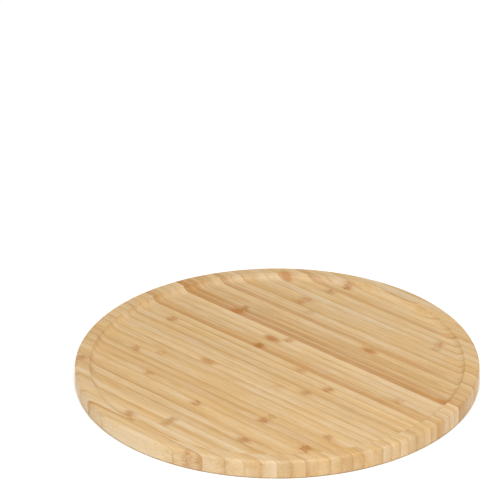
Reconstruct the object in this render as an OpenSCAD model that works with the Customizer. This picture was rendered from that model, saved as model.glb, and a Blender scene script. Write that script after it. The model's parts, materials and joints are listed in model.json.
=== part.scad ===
// Round serving board with a shallow recess, edge-glued from bamboo strips and turned to a disc.
// The origin is the centre of the underside, +Z is up. The strips run along Y. Those on the -X side are
// the left ones and those on the +X side the right ones, both numbered from the edge to the middle.

/* [Board] */
// Diameter of the board
board_d = 330; // [250:5:400]
// Thickness at the rim
board_t = 15; // [12:0.5:24]
// Rounding radius of the upper outer edge
top_edge_r = 3; // [1:0.5:5]
// Rounding radius of the lower outer edge
bottom_edge_r = 2; // [1.6:0.2:4]

/* [Recess] */
// Width of the flat rim, from the outer wall to the eased inner edge
rim_w = 11; // [8:0.5:30]
// Depth of the recess below the rim
recess_depth = 4.5; // [1:0.5:5]
// Radius of the cove between the floor and the rim
cove_r = 7; // [5:0.5:12]
// Rounding radius of the inner edge of the rim
rim_edge_r = 1.2; // [0.2:0.1:2.5]

/* [Strips] */
// Width that the bamboo strips are planed close to, so that whole ones fill the board
strip_w = 7.9; // [7:0.1:20]
// Width that the round cut leaves of the outermost strip on each side
edge_strip_w = 5; // [3:0.5:7]
// Thickness of the glue film in a joint
glue_t = 0.1; // [0.05:0.05:0.3]

/* [Hidden] */
// Facets of a full turn of the board, and of the small arcs in its section
turn_facets = 360;
arc_facets = 48;
// How far a cutter runs past the surface that it cuts
overrun = 1;

board_r = board_d / 2;
floor_z = board_t - recess_depth;

// The rim's inner rounding touches the cove, so a line through both centres passes their joint.
rim_inner_r = board_r - rim_w;
round_z = board_t - rim_edge_r;
cove_z = floor_z + cove_r;
centres_apart = cove_r + rim_edge_r;
centres_drop = cove_z - round_z;
floor_r = rim_inner_r - sqrt(centres_apart * centres_apart - centres_drop * centres_drop);
cove_share = cove_r / centres_apart;
blend_r = floor_r + (rim_inner_r - floor_r) * cove_share;
blend_z = cove_z - centres_drop * cove_share;

// One joint lies on the centre line. From there to the edge strip the joints are an even pitch apart.
strips_each_side = round((board_r - edge_strip_w) / (strip_w + glue_t)) + 1;
pitch = (board_r - edge_strip_w) / (strips_each_side - 1);

// Tones of bamboo, from pale to deep amber, and which one each strip has, from the edge to the middle
TONES = ["#ecd3a4", "#e2c28e", "#d6b079", "#c99b62", "#b4824a"];
LEFT_TONES = [0, 2, 0, 0, 1, 0, 2, 1, 2, 1, 1, 3, 2, 1, 2, 1, 1, 0, 2, 2, 1];
RIGHT_TONES = [1, 0, 2, 1, 3, 1, 2, 0, 1, 2, 1, 3, 2, 2, 3, 4, 1, 1, 1, 3, 2];
GLUE_COLOUR = "#8a6236";

SIDES = ["left", "right"];
function strip_name(side, i) = str(side, "_strip_", i < 10 ? "0" : "", i);
function strip_tone(side, i) =
    let (tones = side == "left" ? LEFT_TONES : RIGHT_TONES) TONES[tones[(i - 1) % len(tones)]];
// How far the joint on the inner side of strip i lies from the centre line
function joint_x(i) = (strips_each_side - i) * pitch;

// What rounding takes off a square corner, with the round's centre at the origin
module corner_waste(r) {
    difference() {
        square(r + overrun);
        circle(r);
    }
}

// Half section of the recess, as the router cuts it
module recess_section() {
    translate([0, floor_z])
        square([floor_r, recess_depth + overrun]);
    intersection() {
        translate([floor_r, cove_z])
            circle(cove_r);
        translate([floor_r, floor_z])
            square([blend_r - floor_r, blend_z - floor_z]);
    }
    difference() {
        translate([floor_r, blend_z])
            square([rim_inner_r - floor_r, board_t + overrun - blend_z]);
        translate([rim_inner_r, round_z])
            circle(rim_edge_r);
    }
}

// Half section of the board: rounded outer edges, flat rim, cove and flat floor
module board_section() {
    difference() {
        square([board_r, board_t]);
        translate([board_r - top_edge_r, board_t - top_edge_r])
            corner_waste(top_edge_r);
        translate([board_r - bottom_edge_r, bottom_edge_r])
            mirror([0, 1])
                corner_waste(bottom_edge_r);
        recess_section();
    }
}

module turned_board() {
    rotate_extrude($fn = turn_facets)
        board_section($fn = arc_facets);
}

// Everything between two planes across X, a little past the board all round
module slab(from_x, to_x) {
    translate([from_x, -board_r - overrun, -overrun])
        cube([to_x - from_x, board_d + 2 * overrun, board_t + 2 * overrun]);
}

// One bamboo strip. The outermost one on each side ends at the board's round wall.
module strip(side, i) {
    inner_x = joint_x(i) + glue_t / 2;
    outer_x = i == 1 ? board_r + overrun : joint_x(i - 1) - glue_t / 2;
    color(strip_tone(side, i))
        intersection() {
            turned_board();
            if (side == "left")
                slab(-outer_x, -inner_x);
            else
                slab(inner_x, outer_x);
        }
}

// The glue in every joint, each film as high as the strips that it holds
module glue_films() {
    color(GLUE_COLOUR)
        intersection() {
            turned_board();
            for (i = [1 - strips_each_side : strips_each_side - 1])
                slab(i * pitch - glue_t / 2, i * pitch + glue_t / 2);
        }
}

for (side = SIDES, i = [1 : strips_each_side])
    strip(side, i);
glue_films();
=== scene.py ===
# %% [markdown]
# # A round serving board of glued bamboo strips
# The board is a disc of bamboo strips that stand on edge and are glued side by side, with a shallow
# recess for the food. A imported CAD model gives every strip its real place. This script dresses each
# strip with a smooth surface and a bamboo finish, and never moves anything.
#
# The first cell loads the CAD model and reads the board's main sizes from it.

# %% Load the frame
import json
from math import atan2, cos, pi, radians, sin, sqrt

import bmesh
import bpy
import numpy as np
from mathutils import Matrix, Vector


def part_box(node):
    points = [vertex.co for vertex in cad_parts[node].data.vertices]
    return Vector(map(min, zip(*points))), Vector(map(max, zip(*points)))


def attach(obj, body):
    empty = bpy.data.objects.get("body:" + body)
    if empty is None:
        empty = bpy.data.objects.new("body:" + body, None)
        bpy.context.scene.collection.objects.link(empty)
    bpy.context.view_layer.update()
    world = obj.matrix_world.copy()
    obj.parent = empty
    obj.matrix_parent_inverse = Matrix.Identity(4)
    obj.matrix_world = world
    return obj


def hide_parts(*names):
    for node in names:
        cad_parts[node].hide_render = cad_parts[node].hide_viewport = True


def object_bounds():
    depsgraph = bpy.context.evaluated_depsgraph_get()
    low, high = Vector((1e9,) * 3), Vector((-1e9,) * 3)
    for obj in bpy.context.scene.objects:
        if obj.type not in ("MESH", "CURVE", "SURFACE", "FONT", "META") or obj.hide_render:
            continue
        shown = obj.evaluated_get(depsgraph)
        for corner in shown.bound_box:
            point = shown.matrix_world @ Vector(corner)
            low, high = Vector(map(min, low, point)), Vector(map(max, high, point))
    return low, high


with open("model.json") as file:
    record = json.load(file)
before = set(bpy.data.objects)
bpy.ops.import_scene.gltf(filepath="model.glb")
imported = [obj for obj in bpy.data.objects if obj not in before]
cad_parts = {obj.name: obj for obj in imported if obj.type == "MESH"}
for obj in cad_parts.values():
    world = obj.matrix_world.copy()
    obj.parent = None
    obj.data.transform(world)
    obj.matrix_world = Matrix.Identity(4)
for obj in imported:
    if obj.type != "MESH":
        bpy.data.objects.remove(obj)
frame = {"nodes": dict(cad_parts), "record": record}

scene = bpy.context.scene
cad_low, cad_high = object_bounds()
MM = 0.001
board_r = (cad_high.x - cad_low.x) / 2
board_t = cad_high.z - cad_low.z
mounts = {mount["name"]: mount for mount in frame["record"]["mounts"]}
floor_z = mounts["recess_floor"]["pos_m"][2]
print(f"board {2 * board_r / MM:.0f} mm across and {board_t / MM:.0f} mm thick, with a recess "
      f"{(board_t - floor_z) / MM:.1f} mm deep, in {len(frame['nodes'])} nodes")

# %% [markdown]
# ## The camera
# A product photo is taken from far away with a long lens, so that round things stay round. The camera
# here stands 2.3 m from the board. Its place is given as a photographer would: how far it is turned
# from the direction of the strips, how high it looks down, and how far away it stands. The board lies
# low in the picture, so the camera points a little over it.

# %% Camera
CAMERA_AZIMUTH = radians(-46.7)
CAMERA_ELEVATION = radians(28.68)
CAMERA_DISTANCE = 2.325
CAMERA_HEADING = radians(-45.872)
CAMERA_PITCH = radians(26.293)
CAMERA_ROLL = radians(-0.427)
LENS_MM = 213.38
SENSOR_MM = 36

level = CAMERA_DISTANCE * cos(CAMERA_ELEVATION)
place = Vector((
    level * sin(CAMERA_AZIMUTH),
    -level * cos(CAMERA_AZIMUTH),
    board_t + CAMERA_DISTANCE * sin(CAMERA_ELEVATION),
))
turn = (
    Matrix.Rotation(CAMERA_HEADING, 4, "Z")
    @ Matrix.Rotation(pi / 2 - CAMERA_PITCH, 4, "X")
    @ Matrix.Rotation(CAMERA_ROLL, 4, "Z")
)
camera = bpy.data.objects.new("camera", bpy.data.cameras.new("camera"))
camera.data.lens = LENS_MM
camera.data.sensor_width = SENSOR_MM
camera.data.clip_end = 50
camera.matrix_world = Matrix.Translation(place) @ turn
scene.collection.objects.link(camera)
bpy.context.scene.camera = camera
print("camera at", [round(v, 3) for v in place])

# %% [markdown]
# ## Nodes as building blocks
# A procedural finish is a network of small sums. These helpers make one node at a time and plug in
# either a number or another node's output, so that a formula reads from left to right.

# %% Node helpers


def feed(tree, socket, value):
    """Plugs an output into a socket, or sets the socket to a plain value."""
    if isinstance(value, bpy.types.NodeSocket):
        tree.links.new(value, socket)
    else:
        socket.default_value = value


def calc(tree, operation, *values, clamp=False):
    """One Math node."""
    node = tree.nodes.new("ShaderNodeMath")
    node.operation = operation
    node.use_clamp = clamp
    for socket, value in zip(node.inputs, values):
        feed(tree, socket, value)
    return node.outputs[0]


def times(tree, first, *others):
    """The product of all the values."""
    for value in others:
        first = calc(tree, "MULTIPLY", first, value)
    return first


def scaled(tree, value, factor, start):
    """value times factor plus start."""
    return calc(tree, "MULTIPLY_ADD", value, factor, start)


def centred(tree, value):
    """A noise from 0 to 1, moved down to run from -0.5 to 0.5."""
    return calc(tree, "SUBTRACT", value, 0.5)


# %% [markdown]
# ## Vectors
# A place is a vector. Where only its X, Y or Z is needed, it is split into these three, and where
# a pattern is moved aside, a vector is joined from them and added.

# %% Vector helpers


def vector_calc(tree, operation, *values):
    """One Vector Math node."""
    node = tree.nodes.new("ShaderNodeVectorMath")
    node.operation = operation
    for socket, value in zip(node.inputs, values):
        feed(tree, socket, value)
    return node.outputs[0]


def split(tree, vector):
    """The X, Y and Z of a vector."""
    node = tree.nodes.new("ShaderNodeSeparateXYZ")
    feed(tree, node.inputs[0], vector)
    return node.outputs


def join(tree, x=0.0, z=0.0):
    """A vector with an X and a Z, and no Y."""
    node = tree.nodes.new("ShaderNodeCombineXYZ")
    feed(tree, node.inputs["X"], x)
    feed(tree, node.inputs["Z"], z)
    return node.outputs[0]


# %% [markdown]
# ## Soft edges and noise
# Three curves shape every mark on the wood: a bell for a soft spot, a plateau for a spot with a flat
# middle, and a smooth step for an edge. Noise makes the marks uneven. Its size is given in millimetres,
# so that it can be read off a real strip.

# %% Curves and noise


def bell(tree, value, width):
    """A bump of height 1: e to the power of minus the square of (value / width)."""
    share = calc(tree, "DIVIDE", value, width)
    return calc(tree, "EXPONENT", times(tree, share, share, -1.0))


def plateau(tree, value, width):
    """As bell, but flat on top and steeper: e to the power of minus the 4th power of (value / width)."""
    share = calc(tree, "DIVIDE", value, width)
    square = times(tree, share, share)
    return calc(tree, "EXPONENT", times(tree, square, square, -1.0))


def rise(tree, value, low, high):
    """A smooth step from 0 at low to 1 at high."""
    node = tree.nodes.new("ShaderNodeMapRange")
    node.interpolation_type = "SMOOTHSTEP"
    for name, given in (("Value", value), ("From Min", low), ("From Max", high)):
        feed(tree, node.inputs[name], given)
    return node.outputs["Result"]


def grain_noise(tree, position, size, detail=2.0, roughness=0.5):
    """Noise whose blobs have the given size in millimetres along X, Y and Z, from 0 to 1 about 0.5."""
    node = tree.nodes.new("ShaderNodeTexNoise")
    node.inputs["Scale"].default_value = 1.0
    node.inputs["Detail"].default_value = detail
    node.inputs["Roughness"].default_value = roughness
    feed(tree, node.inputs["Vector"], vector_calc(tree, "DIVIDE", position, size))
    return node.outputs["Fac"]


print(f"a bell or a plateau falls to {np.exp(-1):.2f} of its height at its width")

# %% [markdown]
# ## Mixing colours
# Colours are laid over each other as paint is: a share of 0 keeps the first, and 1 gives the second.

# %% Mix helper


def mix_colour(tree, share, first, second, blend="MIX"):
    """One Mix node on colours."""
    node = tree.nodes.new("ShaderNodeMix")
    node.data_type = "RGBA"
    node.blend_type = blend
    feed(tree, node.inputs["Factor"], share)
    feed(tree, node.inputs["A"], first)
    feed(tree, node.inputs["B"], second)
    return node.outputs["Result"]


# %% [markdown]
# ## Groups and materials
# A pattern that several finishes share is a node group with named sockets, built once. Each material
# keeps its own Principled shader, and the groups feed it with masks.

# %% Group and material helpers


def new_group(name, inputs, outputs):
    """An empty shader node group. inputs and outputs are (socket name, kind) pairs."""
    tree = bpy.data.node_groups.new(name, "ShaderNodeTree")
    for way, sockets in (("INPUT", inputs), ("OUTPUT", outputs)):
        for socket, kind in sockets:
            tree.interface.new_socket(socket, in_out=way, socket_type="NodeSocket" + kind)
    return tree, tree.nodes.new("NodeGroupInput").outputs, tree.nodes.new("NodeGroupOutput").inputs


def use_group(tree, group, **values):
    """Places a group in a material, with an underscore in a name for a space."""
    node = tree.nodes.new("ShaderNodeGroup")
    node.node_tree = group
    for socket, value in values.items():
        feed(tree, node.inputs[socket.replace("_", " ")], value)
    return node.outputs


def new_material(name):
    """A material, its node tree and the inputs of its Principled shader."""
    material = bpy.data.materials.new(name)
    material.use_nodes = True
    return material, material.node_tree, material.node_tree.nodes["Principled BSDF"].inputs


def place_in_mm(tree):
    """Where a point lies in the board's frame, in millimetres."""
    place = tree.nodes.new("ShaderNodeTexCoord").outputs["Object"]
    return vector_calc(tree, "MULTIPLY", place, (1 / MM, 1 / MM, 1 / MM))


def relief(tree, height, strength, depth):
    """Normals bent as if a height of 1 stood up by depth."""
    bump = tree.nodes.new("ShaderNodeBump")
    bump.inputs["Strength"].default_value = strength
    bump.inputs["Distance"].default_value = depth
    feed(tree, bump.inputs["Height"], height)
    return bump.outputs["Normal"]


# %% [markdown]
# ## The floor
# A white floor makes the plain background of a shop photo. It glows a little by itself, as a lit table
# does, so that hardly any shadow is left. The glow grows away from the board, because the lamp gives
# less light there. It ends at the board's foot, which paints a thin dark contact shadow round the board,
# so that the board doesn't seem to float.

# %% Floor
FLOOR_SIZE = 24.0
FLOOR_WHITE = (0.9, 0.9, 0.9, 1)
FLOOR_ROUGHNESS = 0.7
GLOW_NEAR = 0.34
GLOW_FAR = 0.52
GLOW_GROWS = (0.25, 0.95)
GLOW_COLOUR = (0.93, 0.965, 1, 1)
NO_GLOW = (0, 0, 0, 1)
# Half width of the painted contact shadow, a ring without glow round the board's foot
FOOT_SHADE = 1.5 * MM

half = FLOOR_SIZE / 2
corners = [(-half, -half, 0), (half, -half, 0), (half, half, 0), (-half, half, 0)]
floor_mesh = bpy.data.meshes.new("floor")
floor_mesh.from_pydata(corners, [], [(0, 1, 2, 3)])
floor = bpy.data.objects.new("floor", floor_mesh)
floor.location.z = cad_low.z
scene.collection.objects.link(floor)

paint, tree, painted = new_material("white floor")
painted["Base Color"].default_value = FLOOR_WHITE
painted["Roughness"].default_value = FLOOR_ROUGHNESS
painted["Emission Strength"].default_value = 1
from_middle = tree.nodes.new("ShaderNodeVectorMath")
from_middle.operation = "LENGTH"
feed(tree, from_middle.inputs[0], tree.nodes.new("ShaderNodeTexCoord").outputs["Object"])
radius = from_middle.outputs["Value"]
glow = scaled(tree, rise(tree, radius, *GLOW_GROWS), GLOW_FAR - GLOW_NEAR, GLOW_NEAR)
# Painted contact shadow: the glow is taken away near the board's edge, which leaves a thin dark ring
# under its foot
outside_foot_shadow = rise(tree, radius, board_r - FOOT_SHADE, board_r + FOOT_SHADE)
glow = times(tree, glow, outside_foot_shadow)
feed(tree, painted["Emission Color"], mix_colour(tree, glow, NO_GLOW, GLOW_COLOUR))
floor.data.materials.append(paint)
print(f"floor {FLOOR_SIZE:.0f} m wide, glowing from {GLOW_NEAR} near the board to {GLOW_FAR} far away")

# %% [markdown]
# ## Sky and lamp
# A bright, even sky lights the board from all sides. One soft lamp hangs over the near side and models
# the rim and the step of the recess. It hangs low, so that the far side of the board gets less of it.
# The film is left linear up to white, because a filmic curve would turn the golden bamboo grey.

# %% Sky and lamp
SKY_COLOUR = (1, 0.95, 0.88, 1)
SKY_STRENGTH = 0.40
LAMP_AZIMUTH = CAMERA_AZIMUTH + radians(4)
LAMP_ELEVATION = radians(68)
LAMP_DISTANCE = 1.2
LAMP_SIZE = 0.8
LAMP_POWER = 11.2

scene.view_settings.view_transform = "Standard"
scene.view_settings.look = "None"
sky = bpy.data.worlds.new("sky")
sky.use_nodes = True
background = sky.node_tree.nodes["Background"].inputs
background["Color"].default_value = SKY_COLOUR
background["Strength"].default_value = SKY_STRENGTH
scene.world = sky


def soft_lamp(name, azimuth, elevation, distance, size, power):
    """A square lamp that looks at the board. Azimuth 0 stands on the -Y side, as the camera's does."""
    lamp = bpy.data.objects.new(name, bpy.data.lights.new(name, "AREA"))
    lamp.data.shape = "SQUARE"
    lamp.data.size = size
    lamp.data.energy = power
    away = distance * cos(elevation)
    spot = Vector((away * sin(azimuth), -away * cos(azimuth), distance * sin(elevation)))
    lamp.matrix_world = Matrix.Translation(spot) @ spot.to_track_quat("Z", "Y").to_matrix().to_4x4()
    scene.collection.objects.link(lamp)
    return lamp


key = soft_lamp("key lamp", LAMP_AZIMUTH, LAMP_ELEVATION, LAMP_DISTANCE, LAMP_SIZE, LAMP_POWER)
print(key.name, "hangs at", [round(v, 2) for v in key.location])

# %% [markdown]
# ## The board's section
# The board is turned like a plate, so one half section describes all of it: the flat floor of the
# recess, a cove that rises from it, a small eased edge, the flat rim, the rounded upper edge, the
# wall, the rounded lower edge and the underside. The radii are those of the CAD model.
#
# Each piece of the section is either a straight line or an arc. An arc is given by its centre, its
# radius, and the angles between which it runs, measured from straight up towards the outside. The
# cove bends the other way, so sanding it down by some depth makes its radius larger, not smaller.

# %% Section of the board
rim_w = 11 * MM
cove_r = 7 * MM
rim_edge_r = 1.2 * MM
top_edge_r = 3 * MM
bottom_edge_r = 2 * MM

rim_inner_r = board_r - rim_w
rim_round_z = board_t - rim_edge_r
cove_z = floor_z + cove_r
centres_drop = cove_z - rim_round_z
centres_out = sqrt((cove_r + rim_edge_r) ** 2 - centres_drop ** 2)
floor_r = rim_inner_r - centres_out
cove_angle = atan2(centres_out, centres_drop)

COVE_STEPS = 10
RIM_EDGE_STEPS = 6
TOP_EDGE_STEPS = 12
BOTTOM_EDGE_STEPS = 8


def line_zone(start, end, height, sink):
    """A flat part of the skin, between two radii. sink is +1 where sanding lowers it, else -1."""
    return {"kind": "line", "start": start, "end": end, "height": height, "sink": sink}


def arc_zone(centre, radius, start, end, grow, steps):
    """An arc of the skin about a centre. grow is +1 where sanding widens its radius, else -1."""
    return {"kind": "arc", "centre": centre, "radius": radius, "start": start, "end": end,
            "grow": grow, "steps": steps}


top_centre = (board_r - top_edge_r, board_t - top_edge_r)
bottom_centre = (board_r - bottom_edge_r, bottom_edge_r)
TOP_ZONES = [
    line_zone(0, floor_r, floor_z, 1),
    arc_zone((floor_r, cove_z), cove_r, pi, pi - cove_angle, 1, COVE_STEPS),
    arc_zone((rim_inner_r, rim_round_z), rim_edge_r, -cove_angle, 0, -1, RIM_EDGE_STEPS),
    line_zone(rim_inner_r, board_r - top_edge_r, board_t, 1),
    arc_zone(top_centre, top_edge_r, 0, pi / 2, -1, TOP_EDGE_STEPS),
]
UNDER_ZONES = [
    arc_zone(bottom_centre, bottom_edge_r, pi / 2, pi, -1, BOTTOM_EDGE_STEPS),
    line_zone(board_r - bottom_edge_r, 0, 0, -1),
]
print(f"recess floor {2 * floor_r / MM:.1f} mm across")
print(f"the cove turns through {np.degrees(cove_angle):.1f} degrees")

# %% [markdown]
# ## Cutting the section with a plane
# A strip is what two planes across X leave of the turned board. A plane at a distance x from the axis
# meets the skin of radius r at y = the root of (r squared minus x squared), and it misses every part
# of the skin that lies nearer to the axis than x. So each zone is started where its radius passes x,
# and the samples that fall away are drawn onto the first one that is left. They are merged later.

# %% Samples of one zone
LINE_MARGIN = 0.6 * MM
LARGEST_MARGIN_SHARE = 0.3
TINY = 1e-9


def line_points(zone, reach, sand, top):
    """(radius, height) of a line's samples, for cuts at the distances reach, sanded down by sand.

    The line starts where its radius passes the cut. Besides its ends it keeps two samples close to
    them, so that the smooth shading of its neighbours doesn't spread over it.
    """
    hit = np.clip(reach, min(zone["start"], zone["end"]), max(zone["start"], zone["end"]))
    start = hit if top else np.full_like(reach, zone["start"])
    end = np.full_like(reach, zone["end"]) if top else hit
    way = end - start
    step = np.clip(LINE_MARGIN / np.maximum(np.abs(way), TINY), 0, LARGEST_MARGIN_SHARE)
    share = np.concatenate([0 * step, step, 1 - step, 0 * step + 1], axis=1)
    return start + way * share, zone["height"] - zone["sink"] * sand + 0 * share


def arc_points(zone, reach, sand, top):
    """As line_points, but for an arc: radius and height are its centre plus radius times sine or cosine.

    An arc that a cut enters half way has its samples crowded towards the cut, by the square of the
    share, because y grows there as a root.
    """
    radius = zone["radius"] + zone["grow"] * sand
    hit = np.arcsin(np.clip((reach - zone["centre"][0]) / radius, -1, 1))
    if max(zone["start"], zone["end"]) > pi / 2 + TINY:
        hit = pi - hit
    hit = np.clip(hit, *sorted((zone["start"], zone["end"])))
    share = np.linspace(0, 1, zone["steps"] + 1)[None, :]
    if top:
        cut = np.abs(hit - zone["start"]) > TINY
        angle = hit + (zone["end"] - hit) * np.where(cut, share ** 2, share)
    else:
        cut = np.abs(hit - zone["end"]) > TINY
        angle = hit + (zone["start"] - hit) * np.where(cut, (1 - share) ** 2, 1 - share)
    return zone["centre"][0] + radius * np.sin(angle), zone["centre"][1] + radius * np.cos(angle)


def zone_points(zone, reach, sand, top):
    """The samples of a line or an arc."""
    points = line_points if zone["kind"] == "line" else arc_points
    return points(zone, reach, sand, top)


print("samples on an arc of the cove:", COVE_STEPS + 1)

# %% [markdown]
# ## The whole outline of a cut
# Strung together, the samples of all zones give half an outline, and its mirror image the other half.

# %% Outline of one cut


def cut_outlines(x, sand):
    """Closed outlines of the board in planes across X: arrays y and z with one row for each plane.

    A row runs from the middle of the top over the +Y end to the middle of the underside, and back
    over the -Y end, which mirrors the first half.
    """
    reach = np.abs(x)[:, None]
    sand = sand[:, None]
    upper = [zone_points(zone, reach, sand, True) for zone in TOP_ZONES]
    under = [zone_points(zone, reach, sand, False) for zone in UNDER_ZONES]
    r = np.concatenate([zone[0] for zone in upper + under], axis=1)
    z = np.concatenate([zone[1] for zone in upper + under], axis=1)
    there = r >= reach - TINY
    count = r.shape[1]
    first = there.argmax(axis=1)[:, None]
    last = count - 1 - there[:, ::-1].argmax(axis=1)[:, None]
    pick = np.clip(np.arange(count)[None, :], first, last)
    r = np.take_along_axis(r, pick, axis=1)
    z = np.take_along_axis(z, pick, axis=1)
    y = np.sqrt(np.maximum(r ** 2 - reach ** 2, 0))
    y[(pick == first) | (pick == last)] = 0
    return np.concatenate([y, -y[:, -2:0:-1]], axis=1), np.concatenate([z, z[:, -2:0:-1]], axis=1)


middle_y = cut_outlines(np.zeros(1), np.zeros(1))[0]
print(middle_y.shape[1], "samples round a cut, which is", round(np.ptp(middle_y) / MM, 1), "mm long")

# %% [markdown]
# ## From cuts to a closed piece
# The cuts stand side by side along X and are joined by four-sided faces into a tube. A flat face
# closes the tube where the strip meets its neighbour. At the edge of the board the last cut has
# shrunk to an upright line, and the tube closes by itself.
#
# Where two strips meet, the maker's sandpaper has broken their sharp corners a little. So the cuts
# close to a joint are sanded down along a quarter circle, which leaves a fine groove on each joint.

# %% Places of the cuts
ARRIS = 0.06 * MM
ARRIS_STEPS = 3
ARRIS_SUPPORT = 0.12 * MM
COLUMN_ANGLE = radians(0.7)
FEWEST_COLUMNS = 5


def strip_columns(low, high, low_joint, high_joint, wear):
    """Places of a strip's cuts along X, and how deep each is sanded. The whole strip loses wear.

    Between the joints the cuts are even in the angle that the board's wall turns through. Beside a
    joint they follow a quarter circle: x moves by 1 - cos, and the depth falls by 1 - sin. An end
    without a joint is where the worn wall itself ends.
    """
    corner = np.linspace(0, pi / 2, ARRIS_STEPS + 1)
    x_in = ARRIS * (1 - np.cos(corner))
    deep = ARRIS * (1 - np.sin(corner))
    wall_r = board_r - wear
    start = low + ARRIS + ARRIS_SUPPORT if low_joint else -wall_r
    end = high - ARRIS - ARRIS_SUPPORT if high_joint else wall_r
    from_angle, to_angle = np.arccos(np.clip(np.array([start, end]) / wall_r, -1, 1))
    count = max(FEWEST_COLUMNS, int(np.ceil(abs(to_angle - from_angle) / COLUMN_ANGLE)) + 1)
    middle = wall_r * np.cos(np.linspace(from_angle, to_angle, count))
    x = [middle]
    sand = [np.zeros(count)]
    if low_joint:
        x.insert(0, low + x_in)
        sand.insert(0, deep)
    if high_joint:
        x.append((high - x_in)[::-1])
        sand.append(deep[::-1])
    return np.concatenate(x), np.concatenate(sand) + wear


print("a strip 8 mm wide has", len(strip_columns(0, 8 * MM, True, True, 0)[0]), "cuts")

# %% [markdown]
# ## The tube
# The grid of points is made a mesh in one go. Points that fell together are merged, which closes the
# tube at the edge of the board, and the normals are made to point outwards. The two flat ends stay
# flat, and everything else is shaded smooth.

# %% Tube through the cuts
MERGE_DISTANCE = 1e-7
FLAT_END_NORMAL = 0.999
FEWEST_END_CORNERS = 12


def tube_mesh(name, x, sand):
    """A closed mesh through the cuts at x: a grid of faces, and one flat face at each end."""
    y, z = cut_outlines(x, sand)
    columns, around = y.shape
    points = np.stack([np.repeat(x[:, None], around, axis=1), y, z], axis=2).reshape(-1, 3)
    grid = np.arange(columns * around).reshape(columns, around)
    here, there = grid[:-1], grid[1:]
    faces = np.stack([here, np.roll(here, -1, axis=1), np.roll(there, -1, axis=1), there], axis=2)
    mesh = bpy.data.meshes.new(name)
    ends = [list(map(int, grid[0][::-1])), list(map(int, grid[-1]))]
    mesh.from_pydata(points.tolist(), [], faces.reshape(-1, 4).tolist() + ends)
    work = bmesh.new()
    work.from_mesh(mesh)
    bmesh.ops.remove_doubles(work, verts=work.verts, dist=MERGE_DISTANCE)
    bmesh.ops.recalc_face_normals(work, faces=work.faces)
    for face in work.faces:
        face.smooth = abs(face.normal.x) < FLAT_END_NORMAL or len(face.verts) < FEWEST_END_CORNERS
    work.to_mesh(mesh)
    work.free()
    return mesh


print("points closer than", MERGE_DISTANCE, "m are merged")

# %% [markdown]
# ## Bamboo fibres
# Bamboo has no rings and no rays. It is a pale, soft body with thin, hard, brown bundles of fibre that
# run along the stem, close together near the outer skin and far apart inside. On a face along the
# stem the bundles are fine streaks, and on the cut end the same bundles are dots.
#
# A solid texture gives both at once. The space is divided into cells that are very long along Y, and
# the core of each cell is a bundle. Cores are thicker towards the strip's outer side, and some bundles
# are fainter than others.

# %% Bundles of fibre
BUNDLE_SPACING = (0.8, 30.0, 1.0)
BUNDLE_CORE = 0.27
BUNDLE_CORE_GROWS = 0.14
BUNDLE_EDGE = (-0.14, 0.08)
FAINTEST_BUNDLE = 0.25


def fibre_bundles(tree, place, density):
    """1 in the core of a bundle and 0 outside it, times the bundle's own strength.

    The distance from the middle of a cell is taken from the core's radius, which grows with density,
    and a smooth step makes the edge.
    """
    cells = tree.nodes.new("ShaderNodeTexVoronoi")
    cells.inputs["Scale"].default_value = 1.0
    feed(tree, cells.inputs["Vector"], vector_calc(tree, "DIVIDE", place, BUNDLE_SPACING))
    core = scaled(tree, density, BUNDLE_CORE_GROWS, BUNDLE_CORE)
    inside = calc(tree, "SUBTRACT", core, cells.outputs["Distance"])
    chance = tree.nodes.new("ShaderNodeSeparateColor")
    feed(tree, chance.inputs[0], cells.outputs["Color"])
    strength = scaled(tree, chance.outputs[0], 1 - FAINTEST_BUNDLE, FAINTEST_BUNDLE)
    return times(tree, rise(tree, inside, *BUNDLE_EDGE), strength)


print("bundles lie about", BUNDLE_SPACING[0], "mm apart")

# %% [markdown]
# ## Streaks
# Between the bundles the wood has streaks of several widths. Noises that are stretched along Y give
# them: a narrow one, a broad one, and short flecks.

# %% Streaks
NARROW_STREAKS = (1.4, 58.0, 2.2)
BROAD_STREAKS = (5.0, 170.0, 9.0)
FLECKS = (0.6, 10.0, 0.9)
NARROW_SHARE = 0.44
BROAD_SHARE = 0.28
FLECK_SHARE = 0.28
STREAK_EDGE = (0.33, 0.67)


def fibre_streaks(tree, place):
    """The sum of the three noises, each times its share, spread out from 0 to 1."""
    narrow = grain_noise(tree, place, NARROW_STREAKS, detail=3.0, roughness=0.62)
    broad = grain_noise(tree, place, BROAD_STREAKS, detail=1.0)
    streaks = scaled(tree, broad, BROAD_SHARE, times(tree, narrow, NARROW_SHARE))
    streaks = scaled(tree, grain_noise(tree, place, FLECKS), FLECK_SHARE, streaks)
    return rise(tree, streaks, *STREAK_EDGE)


print("narrow streaks are about", NARROW_STREAKS[0], "mm wide")

# %% [markdown]
# ## All fibres in one group
# The fibres never run quite straight, so the place is swayed before they are looked up. Large clouds
# of tone and fine hairs in the gloss complete the group.

# %% Fibre group
SWAY_SIZE = (9.0, 70.0, 9.0)
SWAY_WIDTH = 2.2
CLOUDS = (14.0, 48.0, 14.0)
CLOUD_EDGE = (0.25, 0.75)
HAIRS = (0.28, 16.0, 0.35)
HAIR_HEIGHT = 0.6


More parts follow.
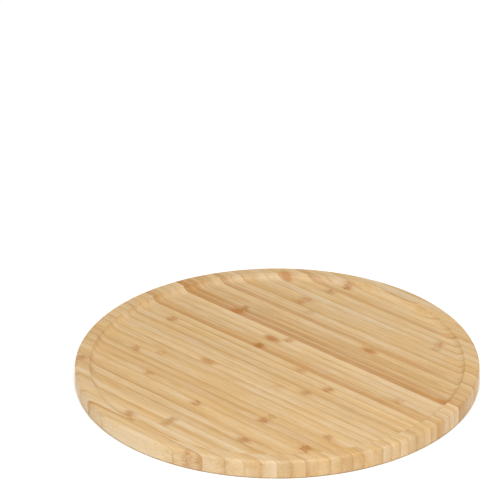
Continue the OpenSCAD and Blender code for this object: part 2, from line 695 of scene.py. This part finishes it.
def make_fibre_group():
    """Group "bamboo fibres": masks from 0 to 1 at a point in millimetres, and a height.

    Height is the relief that sanding leaves, because bundles are harder: bundles plus 0.6 times hairs.
    """
    tree, given, result = new_group(
        "bamboo fibres",
        [("Position", "Vector"), ("Density", "Float")],
        [(name, "Float") for name in ("Bundles", "Streaks", "Clouds", "Hairs", "Height")],
    )
    position = given["Position"]
    sway = times(tree, centred(tree, grain_noise(tree, position, SWAY_SIZE)), SWAY_WIDTH)
    swayed = vector_calc(tree, "ADD", position, join(tree, x=sway))
    bundles = fibre_bundles(tree, swayed, given["Density"])
    feed(tree, result["Bundles"], bundles)
    feed(tree, result["Streaks"], fibre_streaks(tree, swayed))
    feed(tree, result["Clouds"], rise(tree, grain_noise(tree, position, CLOUDS), *CLOUD_EDGE))
    hairs = grain_noise(tree, swayed, HAIRS, roughness=0.6)
    feed(tree, result["Hairs"], hairs)
    feed(tree, result["Height"], scaled(tree, hairs, HAIR_HEIGHT, bundles))
    return tree


fibre_group = make_fibre_group()
print("group", fibre_group.name, "has", len(fibre_group.nodes), "nodes")

# %% [markdown]
# ## Dashes of a knuckle
# A bamboo stem is closed by a wall every 20 or 30 cm, and has a knuckle there. A strip cut through a
# knuckle shows a short band across it. The plainest mark is two rows of dark dashes, where the fibres
# cross, with a soft brown tint between them.

# %% Dashes
SPECK_SIZE = (0.8, 2.3, 1.1)
SPECK_EDGE = (0.48, 0.62)
ROW_DISTANCE = 2.4
ROW_WIDTH = 2.2
TINT_WIDTH = 2.6
TINT_STRENGTH = 0.60
PATCH_SIZE = (2.4, 9.0, 3.0)
PATCH_EDGE = (0.36, 0.62)


def knuckle_dashes(tree, position, offset):
    """Specks of noise times a bell about each row, plus a patchy bell about the knuckle itself."""
    specks = rise(tree, grain_noise(tree, position, SPECK_SIZE, detail=3.0, roughness=0.65), *SPECK_EDGE)
    from_row = calc(tree, "SUBTRACT", calc(tree, "ABSOLUTE", offset), ROW_DISTANCE)
    rows = bell(tree, from_row, ROW_WIDTH)
    patchy = rise(tree, grain_noise(tree, position, PATCH_SIZE), *PATCH_EDGE)
    tint = times(tree, bell(tree, offset, TINT_WIDTH), patchy, TINT_STRENGTH)
    return calc(tree, "ADD", times(tree, specks, rows), tint, clamp=True)


print("dashes lie", ROW_DISTANCE, "mm before and behind the knuckle")

# %% [markdown]
# ## Blot of a knuckle
# Some knuckles show as a soft reddish blot instead. It fills most of the strip's width, and each fibre
# ends it a little sooner or later.

# %% Blot
BLOT_HALF_ACROSS = 0.46
BLOT_HALF_LENGTH = 8.5
BLOT_END_SIZE = (0.9, 40.0, 1.4)
BLOT_END_SPREAD = 14.0
BLOT_STREAK_SIZE = (1.3, 22.0, 2.0)
BLOT_STREAK_EDGE = (0.10, 0.55)
STAIN_WIDTH = 4.2
STAIN_STRENGTH = 0.45


def knuckle_blot(tree, position, across, offset, dash_strength, blot_strength):
    """A plateau across the strip times a plateau along it with ragged ends, times streaks.

    Where there are dashes, a paler and shorter stain, a bell along the strip, adds to it.
    """
    middle = plateau(tree, across, BLOT_HALF_ACROSS)
    ragged = centred(tree, grain_noise(tree, position, BLOT_END_SIZE))
    along = plateau(tree, scaled(tree, ragged, BLOT_END_SPREAD, offset), BLOT_HALF_LENGTH)
    streaky = rise(tree, grain_noise(tree, position, BLOT_STREAK_SIZE), *BLOT_STREAK_EDGE)
    blot = times(tree, middle, along, streaky, blot_strength)
    stain = times(tree, middle, bell(tree, offset, STAIN_WIDTH), dash_strength)
    return calc(tree, "MULTIPLY_ADD", stain, STAIN_STRENGTH, blot, clamp=True)


print("a blot is about", 2 * BLOT_HALF_LENGTH, "mm long")

# %% [markdown]
# ## Knuckles
# Around a knuckle the wood is a little paler and the streaks swerve. Knuckles are what the eye looks for
# in bamboo, so they are listed strip by strip.
#
# The group works on one knuckle. Mark carries its place along Y, how strong its dashes are and how
# strong its blot is, so that a strip's own attribute can hold all three.

# %% Knuckle group
KNUCKLE_WAVE_SIZE = (5.0, 60.0, 7.0)
KNUCKLE_WAVE = 5.0
HALO_WIDTH = 9.0
PUSH_SIZE = (2.6, 5.0, 3.0)
PUSH_WIDTH = 2.4


def make_knuckle_group():
    """Group "bamboo knuckle": the marks of one knuckle at a point in millimetres.

    The offset is the distance along the strip from the knuckle, with a slow wave across it. Halo is a
    wide bell about the knuckle, times its strength. Swerve is how far the streaks are pushed aside,
    in millimetres: a noise times the halo.
    """
    tree, given, result = new_group(
        "bamboo knuckle",
        [("Position", "Vector"), ("Across", "Float"), ("Mark", "Vector")],
        [(name, "Float") for name in ("Dashes", "Blot", "Halo", "Swerve")],
    )
    position = given["Position"]
    mark = split(tree, given["Mark"])
    place, dash_strength, blot_strength = mark["X"], mark["Y"], mark["Z"]
    wave = centred(tree, grain_noise(tree, position, KNUCKLE_WAVE_SIZE))
    offset = calc(tree, "SUBTRACT", split(tree, position)["Y"], place)
    offset = scaled(tree, wave, KNUCKLE_WAVE, offset)
    dashes = times(tree, knuckle_dashes(tree, position, offset), dash_strength)
    feed(tree, result["Dashes"], dashes)
    blot = knuckle_blot(tree, position, given["Across"], offset, dash_strength, blot_strength)
    feed(tree, result["Blot"], blot)
    strength = calc(tree, "MAXIMUM", dash_strength, blot_strength)
    halo = times(tree, bell(tree, offset, HALO_WIDTH), strength)
    feed(tree, result["Halo"], halo)
    push = centred(tree, grain_noise(tree, position, PUSH_SIZE, detail=1.0))
    feed(tree, result["Swerve"], times(tree, push, halo, PUSH_WIDTH))
    return tree


knuckle_group = make_knuckle_group()
print("group", knuckle_group.name, "has", len(knuckle_group.nodes), "nodes")

# %% [markdown]
# ## Colours of bamboo
# Every tone of bamboo runs between a light and a deep colour. The tones are close together: on the real
# board they differ by a few percent. On the wall, where the saw has cut across the fibres, they lie
# further apart, and on_wall says how much deeper the tone is there.

# %% Colours


def linear(red, green, blue):
    """A colour given as 0 to 255 on screen, as the linear colour that a shader needs.

    This is the sRGB curve: a straight line close to black, and above it a power of 2.4.
    """
    screen = np.array([red, green, blue]) / 255
    light = np.where(screen <= 0.04045, screen / 12.92, ((screen + 0.055) / 1.055) ** 2.4)
    return (*light.tolist(), 1.0)


FIBRE_BROWN = linear(158, 108, 60)
KNUCKLE_BROWN = linear(162, 103, 34)
BLOT_BROWN = linear(190, 125, 56)
SKIN_BROWN = linear(184, 128, 70)
SEAM_BROWN = linear(150, 104, 58)
TONES = {
    "bamboo_pale": {"light": linear(230, 205, 165), "deep": linear(212, 175, 119), "on_wall": -0.34},
    "bamboo_straw": {"light": linear(230, 201, 156), "deep": linear(209, 170, 112), "on_wall": 0.0},
    "bamboo_honey": {"light": linear(228, 198, 150), "deep": linear(206, 166, 107), "on_wall": 0.12},
    "bamboo_tan": {"light": linear(225, 193, 144), "deep": linear(202, 159, 101), "on_wall": 0.28},
    "bamboo_amber": {"light": linear(222, 188, 138), "deep": linear(198, 153, 94), "on_wall": 0.45},
}
print(len(TONES), "tones of bamboo")

# %% [markdown]
# ## What a strip knows about itself
# All strips of a tone share one material, so every strip carries its own numbers as attributes: a small
# shift of its shade, a seed that gives it its own fibres and a warmer or cooler hue. Each of its points
# knows where it lies across the strip, which side faced out of the stem, and how much it faces along Y,
# because on such end grain the streaks turn into fine dots.

# %% Numbers of a strip


def strip_value(tree, name):
    """A number or vector that the strip's mesh carries."""
    node = tree.nodes.new("ShaderNodeAttribute")
    node.attribute_type = "GEOMETRY"
    node.attribute_name = name
    return node


def read_strip(tree):
    """The strip's own numbers, by name."""
    own = split(tree, strip_value(tree, "strip_own").outputs["Vector"])
    strip = {"shade": own["X"], "seed": own["Y"], "hue": own["Z"]}
    for name in ("across", "outward", "end_grain"):
        strip[name] = strip_value(tree, name).outputs["Fac"]
    return strip


print("a strip brings six numbers besides its knuckles and skin")

# %% [markdown]
# ## A place of its own in the pattern
# There is one endless pattern of fibres. Each strip reads it far from the others, so that no two look
# alike. Its fibres also run a little askew, because a strip is never sawn quite along the stem.

# %% Place in the pattern
FIBRE_SLANT = 0.018
SLANT_TURNS = 17.0
JUMP_X = 37.0
JUMP_Z = 91.0


def pattern_place(tree, in_mm, seed):
    """x + 37 times seed + slant times y, and z + 91 times seed. The slant is a sine of the seed."""
    slant = times(tree, calc(tree, "SINE", times(tree, seed, SLANT_TURNS)), FIBRE_SLANT)
    askew = scaled(tree, split(tree, in_mm)["Y"], slant, times(tree, seed, JUMP_X))
    return vector_calc(tree, "ADD", in_mm, join(tree, x=askew, z=times(tree, seed, JUMP_Z)))


print("fibres run askew by up to", FIBRE_SLANT, "mm in each mm")

# %% [markdown]
# ## All marks of a strip
# A strip has up to two knuckles, each in an attribute of its own. Where both reach a point, the
# stronger one counts. A few stray specks lie anywhere.

# %% Marks of a strip
STRAY_SIZE = (0.9, 3.4, 1.2)
STRAY_EDGE = (0.745, 0.80)
STRAY_STRENGTH = 0.5


def strip_marks(tree, position, across):
    """The largest of both knuckles' masks, by name, with stray specks, and the sum of their swerves."""
    first, second = [
        use_group(tree, knuckle_group, Position=position, Across=across,
                  Mark=strip_value(tree, attribute).outputs["Vector"])
        for attribute in ("knuckle_1", "knuckle_2")
    ]
    masks = ("Dashes", "Blot", "Halo")
    marks = {name: calc(tree, "MAXIMUM", first[name], second[name]) for name in masks}
    stray = rise(tree, grain_noise(tree, position, STRAY_SIZE, detail=1.0), *STRAY_EDGE)
    marks["Dashes"] = calc(tree, "MAXIMUM", marks["Dashes"], times(tree, stray, STRAY_STRENGTH))
    marks["Swerve"] = join(tree, x=calc(tree, "ADD", first["Swerve"], second["Swerve"]))
    return marks


# %% [markdown]
# ## How deep the tone is
# Streaks and clouds move each point between the light and the deep colour of its tone. The side of a
# strip that faced out of the stem is denser, and so deeper.

# %% Depth of the tone
DEPTH_START = 0.34
STREAKS_ON_FACE = 0.84
STREAKS_ON_END = 0.42
CLOUD_DEPTH = 0.24
OUTWARD_DEPTH = 0.18
DENSE_POWER = 6.0
DENSE_DEPTH = 0.45
HALO_DEPTH = -0.14


def tone_depth(tree, strip, fibres, halo, on_wall):
    """0 at the light colour and 1 at the deep one: a sum of what makes the wood deeper or paler.

    To a start value come streaks, weaker on end grain, clouds, on_wall times end grain, the outward
    side, and its very edge by the sixth power. A halo takes some away, and the shade is added last.
    """
    change = STREAKS_ON_END - STREAKS_ON_FACE
    weight = scaled(tree, strip["end_grain"], change, STREAKS_ON_FACE)
    depth = scaled(tree, centred(tree, fibres["Streaks"]), weight, DEPTH_START)
    depth = scaled(tree, fibres["Clouds"], CLOUD_DEPTH, depth)
    depth = scaled(tree, strip["end_grain"], on_wall, depth)
    depth = scaled(tree, strip["outward"], OUTWARD_DEPTH, depth)
    dense = calc(tree, "POWER", calc(tree, "ADD", strip["outward"], 0.5, clamp=True), DENSE_POWER)
    depth = scaled(tree, dense, DENSE_DEPTH, depth)
    depth = scaled(tree, halo, HALO_DEPTH, depth)
    return calc(tree, "ADD", depth, strip["shade"], clamp=True)


print(f"streaks count {STREAKS_ON_FACE} on a face and {STREAKS_ON_END} on end grain")

# %% [markdown]
# ## Warm and cool wood
# Strips also differ in hue, some a little yellower and some greyer, and the same happens in clouds
# along one strip. A tint between a cool and a warm white is multiplied onto the colour.

# %% Tint
WARM_TINT = (1.02, 0.985, 0.90, 1.0)
COOL_TINT = (0.975, 1.0, 1.10, 1.0)
CLOUD_WARMTH = 0.8
HUE_ON_FACE = 0.8
HUE_ON_END = 1.6


def tinted(tree, colour, strip, clouds):
    """The colour times a mix of the tints. The share of the warm one is half, plus clouds, plus hue."""
    swing = scaled(tree, strip["end_grain"], HUE_ON_END - HUE_ON_FACE, HUE_ON_FACE)
    warmth = scaled(tree, centred(tree, clouds), CLOUD_WARMTH, 0.5)
    warmth = calc(tree, "ADD", warmth, times(tree, strip["hue"], swing), clamp=True)
    tint = mix_colour(tree, warmth, COOL_TINT, WARM_TINT)
    return mix_colour(tree, 1.0, colour, tint, blend="MULTIPLY")


print(f"blue changes from {COOL_TINT[2]} to {WARM_TINT[2]} times between cool and warm wood")

# %% [markdown]
# ## Skin of the stem
# The outer skin of the stem leaves a brown band along some strips. It runs out towards the -Y end,
# because a stem tapers.

# %% Skin band
SKIN_WOBBLE = 0.20
SKIN_EVEN = 0.6
SKIN_STREAKS = 0.5
SKIN_RUNS_OUT = (-152.0, -100.0)
SKIN_AT_END = 0.4


def skin_share(tree, strip, along, streaks):
    """A plateau across the strip, whose middle and strength wobble with the streaks.

    The strip's attribute gives the middle, the half width and the strength. Towards the -Y end the
    band falls to a share of itself.
    """
    skin = split(tree, strip_value(tree, "skin_band").outputs["Vector"])
    wobble = scaled(tree, centred(tree, streaks), SKIN_WOBBLE, strip["across"])
    band = plateau(tree, calc(tree, "SUBTRACT", wobble, skin["X"]), skin["Y"])
    uneven = scaled(tree, streaks, SKIN_STREAKS, SKIN_EVEN)
    band = calc(tree, "MULTIPLY", times(tree, band, uneven), skin["Z"], clamp=True)
    run_out = rise(tree, along, *SKIN_RUNS_OUT)
    return times(tree, band, scaled(tree, run_out, 1 - SKIN_AT_END, SKIN_AT_END))


print("skin bands fade between y =", SKIN_RUNS_OUT[1], "and", SKIN_RUNS_OUT[0], "mm")

# %% [markdown]
# ## The bamboo finish
# Oiled bamboo is satin, not shiny. Each tone gets its own material, but all share the groups and the
# steps above and differ only in their colours. The marks are laid over the wood one after another, as
# they lie in the wood: skin, bundles, blots, dashes, and last the darker seam along each joint.

# %% Bamboo materials
FIBRE_DENSITY = 2.0
BUNDLES_ON_FACE = 0.32
BUNDLES_ON_END = 0.20
BLOT_STRENGTH = 0.85
DASH_STRENGTH = 0.92
SEAM_EDGE = (0.465, 0.498)
SEAM_STRENGTH = 0.07
WOOD_ROUGHNESS = 0.40
HAIR_ROUGHNESS = 0.22
DASH_ROUGHNESS = 0.12
WOOD_RELIEF = 0.04 * MM
WOOD_RELIEF_STRENGTH = 0.35


def make_bamboo(name, light, deep, on_wall):
    """The finish of one tone: streaks between a light and a deep colour, under bundles and knuckles."""
    material, tree, shader = new_material(name)
    strip = read_strip(tree)
    in_mm = place_in_mm(tree)
    position = pattern_place(tree, in_mm, strip["seed"])
    marks = strip_marks(tree, position, strip["across"])
    swerved = vector_calc(tree, "ADD", position, marks["Swerve"])
    density = times(tree, strip["outward"], FIBRE_DENSITY)
    fibres = use_group(tree, fibre_group, Position=swerved, Density=density)

    depth = tone_depth(tree, strip, fibres, marks["Halo"], on_wall)
    colour = tinted(tree, mix_colour(tree, depth, light, deep), strip, fibres["Clouds"])
    skin = skin_share(tree, strip, split(tree, in_mm)["Y"], fibres["Streaks"])
    colour = mix_colour(tree, skin, colour, SKIN_BROWN)
    change = BUNDLES_ON_END - BUNDLES_ON_FACE
    weight = scaled(tree, strip["end_grain"], change, BUNDLES_ON_FACE)
    colour = mix_colour(tree, times(tree, fibres["Bundles"], weight), colour, FIBRE_BROWN)
    colour = mix_colour(tree, times(tree, marks["Blot"], BLOT_STRENGTH), colour, BLOT_BROWN)
    colour = mix_colour(tree, times(tree, marks["Dashes"], DASH_STRENGTH), colour, KNUCKLE_BROWN)
    seam = rise(tree, calc(tree, "ABSOLUTE", strip["across"]), *SEAM_EDGE)
    colour = mix_colour(tree, times(tree, seam, SEAM_STRENGTH), colour, SEAM_BROWN)
    feed(tree, shader["Base Color"], colour)

    rough = scaled(tree, fibres["Hairs"], HAIR_ROUGHNESS, WOOD_ROUGHNESS)
    rough = scaled(tree, marks["Dashes"], DASH_ROUGHNESS, rough)
    feed(tree, shader["Roughness"], rough)
    height = calc(tree, "SUBTRACT", fibres["Height"], marks["Dashes"])
    feed(tree, shader["Normal"], relief(tree, height, WOOD_RELIEF_STRENGTH, WOOD_RELIEF))
    return material


finishes = {name: make_bamboo(name, **tone) for name, tone in TONES.items()}
print("finishes:", ", ".join(finishes))

# %% [markdown]
# ## Where the knuckles are
# Each entry gives, for one strip of the left or right side, the place of its knuckles along Y in
# millimetres, then the strength of the dashes and of the blot. Strips that come from one stem and lie
# side by side share a knuckle.

# %% Knuckles


def by_node(left, right):
    """One table with node names as keys, from two whose keys are the strips' numbers on each side."""
    names = {f"left_strip_{number:02d}": value for number, value in left.items()}
    return names | {f"right_strip_{number:02d}": value for number, value in right.items()}


KNUCKLES = by_node(
    left={
        2: [(-52, 0.5, 0.0)],
        3: [(20, 0.6, 0.0)],
        4: [(29, 0.8, 0.2)],
        5: [(-3, 0.6, 0.0)],
        6: [(-3, 0.8, 0.0)],
        8: [(-66, 0.8, 0.4), (118, 0.6, 0.3)],
        10: [(2, 0.7, 0.2), (-117, 0.8, 0.2)],
        11: [(64, 0.6, 0.0), (-110, 1.0, 0.3)],
        12: [(-56, 0.9, 0.1)],
        13: [(-57, 0.6, 0.0)],
        14: [(103, 0.7, 0.1), (-112, 0.6, 0.2)],
        15: [(82, 0.4, 0.0)],
        17: [(43, 0.1, 0.9)],
        18: [(-27, 0.2, 0.2)],
        19: [(-51, 0.6, 0.2)],
        21: [(118, 0.8, 0.2), (-60, 0.8, 0.2)],
    },
    right={
        21: [(-23, 0.3, 0.4)],
        20: [(32, 1.0, 0.5)],
        19: [(-113, 0.5, 0.1)],
        18: [(32, 0.5, 1.0)],
        17: [(20, 0.6, 0.1)],
        16: [(87, 0.9, 0.8), (-142, 0.4, 0.7)],
        15: [(86, 0.7, 0.1)],
        13: [(-40, 0.3, 1.0)],
        11: [(42, 0.4, 0.0)],
        10: [(60, 0.5, 0.3)],
        9: [(59, 0.5, 0.3)],
        8: [(-79, 0.5, 0.0)],
        7: [(99, 0.2, 0.8), (-76, 0.6, 0.1)],
        6: [(54, 0.6, 0.2)],
        4: [(48, 0.8, 0.3)],
    },
)
NO_KNUCKLE = (1000, 0.0, 0.0)
print(sum(len(marks) for marks in KNUCKLES.values()), "knuckles on", len(KNUCKLES), "strips")

# %% [markdown]
# ## Where the skin was left on
# The stem's outer skin is browner than its body. Where the planer left some of it, a strip has a brown
# band along it. Each entry gives the middle of the band across the strip, from -0.5 at the low X side
# to 0.5, then half its width on the same scale, and its strength.

# %% Skin bands
SKIN_BANDS = by_node(
    left={
        2: (0.40, 0.12, 0.42),
        9: (-0.34, 0.14, 0.35),
        12: (-0.15, 0.36, 0.12),
        13: (-0.44, 0.12, 0.25),
    },
    right={
        20: (-0.14, 0.36, 0.45),
        16: (-0.14, 0.40, 0.68),
        15: (-0.20, 0.36, 0.45),
        14: (0.30, 0.20, 0.25),
        12: (-0.10, 0.34, 0.40),
        5: (-0.16, 0.36, 0.35),
    },
)
NO_SKIN = (0.0, 1.0, 0.0)
print(len(SKIN_BANDS), "strips with a band of skin")

# %% [markdown]
# ## Strips that stand out
# Most strips differ from their tone by chance. A few are plainly deeper or paler, and these catch the
# eye, so they are listed one by one: a shift towards the deep colour, or with a minus towards the light
# one.

# %% Shades
SHADES = by_node(
    left={1: -0.60, 3: 0.05, 4: -0.15, 7: 0.28, 8: 0.15, 10: -0.10, 11: 0.35, 12: -0.12, 15: 0.10,
          16: 0.20, 17: -0.25, 18: 0.28, 19: -0.15, 20: -0.06, 21: -0.05},
    right={21: -0.17, 20: 0.22, 19: 0.15, 18: -0.32, 17: -0.20, 15: 0.20, 14: 0.12, 13: -0.25,
           11: -0.15, 5: -0.20, 4: -0.28, 3: -0.25},
)
print(len(SHADES), "strips with a shade of their own")

# %% [markdown]
# ## Numbers on the points
# The boxes of the CAD nodes say where each strip lies along X. Every point of a strip gets the numbers
# that the finish reads: across from -0.5 to 0.5, and outward, which is the same or its mirror image.

# %% Values on the points
strip_names = sorted(name for name in frame["nodes"] if "_strip_" in name)
inner_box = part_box("right_strip_05")
full_width = inner_box[1].x - inner_box[0].x


def set_values(mesh, name, kind, values):
    """Gives every vertex of a mesh a number or a vector."""
    attribute = mesh.attributes.new(name, kind, "POINT")
    field = "value" if kind == "FLOAT" else "vector"
    attribute.data.foreach_set(field, np.ascontiguousarray(values, dtype=np.float32).ravel())


def read_vertices(mesh, field):
    """The places or normals of all vertices, one row for each."""
    values = np.empty(len(mesh.vertices) * 3)
    mesh.vertices.foreach_get(field, values)
    return values.reshape(-1, 3)


def set_places(mesh, middle, facing):
    """Across is (x - middle) / width, outward is across times facing, and end_grain the normal's Y.

    End_grain has no sign, because both ends of a strip are end grain.
    """
    across = (read_vertices(mesh, "co")[:, 0] - middle) / full_width
    set_values(mesh, "across", "FLOAT", across)
    set_values(mesh, "outward", "FLOAT", across * facing)
    set_values(mesh, "end_grain", "FLOAT", np.abs(read_vertices(mesh, "normal")[:, 1]))


print(f"a full strip is {full_width / MM:.2f} mm wide")

# %% [markdown]
# ## The strips
# A strip that ends at the board's own radius is an edge strip and has a joint on one side only. After
# washing, no two strips stand quite level, so each one is sanded down by its own few hundredths of a
# millimetre.

# %% Build the strips
WEAR_SPREAD = 0.03 * MM
SHADE_SPREAD = 0.11
SEED_SPREAD = 40
HUE_SPREAD = 0.16
EDGE_MARGIN = 1 * MM
rng = np.random.default_rng(12)
slot_of = {part["node"]: part["material_slot"] for part in frame["record"]["subparts"]}


def dress_strip(node):
    """One strip with its smooth surface, its finish and its own numbers, in place of the CAD strip."""
    low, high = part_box(node)
    low_joint = low.x > -board_r + EDGE_MARGIN
    high_joint = high.x < board_r - EDGE_MARGIN
    x, sand = strip_columns(low.x, high.x, low_joint, high_joint, rng.uniform(0, WEAR_SPREAD))
    mesh = tube_mesh(node + "_wood", x, sand)
    middle = low.x + full_width / 2 if low_joint else high.x - full_width / 2
    # The strips on the right all lie with their outer side to the left, and the others either way
    facing = rng.choice([-1.0, 1.0])
    if node.startswith("right"):
        facing = -1.0
    set_places(mesh, middle, facing)
    shade = rng.normal(0, SHADE_SPREAD) + SHADES.get(node, 0)
    seed = rng.uniform(0, SEED_SPREAD)
    hue = rng.normal(0, HUE_SPREAD)
    marks = (KNUCKLES.get(node, []) + [NO_KNUCKLE, NO_KNUCKLE])[:2]
    strip_values = {
        "strip_own": (shade, seed, hue),
        "knuckle_1": marks[0],
        "knuckle_2": marks[1],
        "skin_band": SKIN_BANDS.get(node, NO_SKIN),
    }
    for name, value in strip_values.items():
        set_values(mesh, name, "FLOAT_VECTOR", np.tile(value, (len(mesh.vertices), 1)))
    mesh.materials.append(finishes[slot_of[node]])
    piece = bpy.data.objects.new(node + "_wood", mesh)
    scene.collection.objects.link(piece)
    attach(piece, "root")
    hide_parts(node)
    return piece


strips = [dress_strip(name) for name in strip_names]
triangles = sum(len(face.vertices) - 2 for piece in strips for face in piece.data.polygons)
print(len(strips), "strips with", triangles, "triangles")

# %% [markdown]
# ## The glue
# The glue in a joint is a brown line a tenth of a millimetre wide. It is softer than bamboo, so it
# wears a hair below the strips. All films are made by the same cuts as the strips and form one piece,
# as they are one node of the CAD model.

# %% Glue
FILM_SINK = 0.04 * MM
GLUE_DARK = linear(184, 140, 92)
GLUE_LIGHT = linear(208, 166, 114)
GLUE_CLOUDS = (8.0, 11.0, 8.0)
GLUE_EDGE = (0.3, 0.7)
GLUE_ROUGHNESS = 0.45
GLUE_ROUGHNESS_SPREAD = 0.2
GLUE_GRAIN = (0.3, 0.9, 0.3)
GLUE_RELIEF = 0.02 * MM
GLUE_RELIEF_STRENGTH = 0.3


def make_glue():
    """Cured wood glue: dull brown, with small changes of colour along the joint."""
    material, tree, shader = new_material("glue")
    in_mm = place_in_mm(tree)
    clouds = grain_noise(tree, in_mm, GLUE_CLOUDS, detail=3.0)
    colour = mix_colour(tree, rise(tree, clouds, *GLUE_EDGE), GLUE_DARK, GLUE_LIGHT)
    feed(tree, shader["Base Color"], colour)
    rough = scaled(tree, clouds, GLUE_ROUGHNESS_SPREAD, GLUE_ROUGHNESS)
    feed(tree, shader["Roughness"], rough)
    grain = grain_noise(tree, in_mm, GLUE_GRAIN)
    feed(tree, shader["Normal"], relief(tree, grain, GLUE_RELIEF_STRENGTH, GLUE_RELIEF))
    return material


glue_finish = make_glue()
print("glue wears", round(FILM_SINK / MM, 2), "mm below the strips")

# %% [markdown]
# ## The films
# A film fills the gap between two strips' boxes, so it runs from the high X side of one strip to the
# low X side of the next.

# %% Glue films
edges = sorted((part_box(name)[0].x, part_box(name)[1].x) for name in strip_names)
work = bmesh.new()
for left, right in zip(edges[:-1], edges[1:]):
    film = tube_mesh("film", np.array([left[1], right[0]]), np.full(2, FILM_SINK))
    work.from_mesh(film)
    bpy.data.meshes.remove(film)
glue_mesh = bpy.data.meshes.new("glue_lines")
work.to_mesh(glue_mesh)
work.free()
glue_mesh.materials.append(glue_finish)
glue = bpy.data.objects.new("glue_lines", glue_mesh)
scene.collection.objects.link(glue)
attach(glue, "root")
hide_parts("glue_films")
print(len(edges) - 1, "films of", f"{(edges[1][0] - edges[0][1]) / MM:.2f} mm")
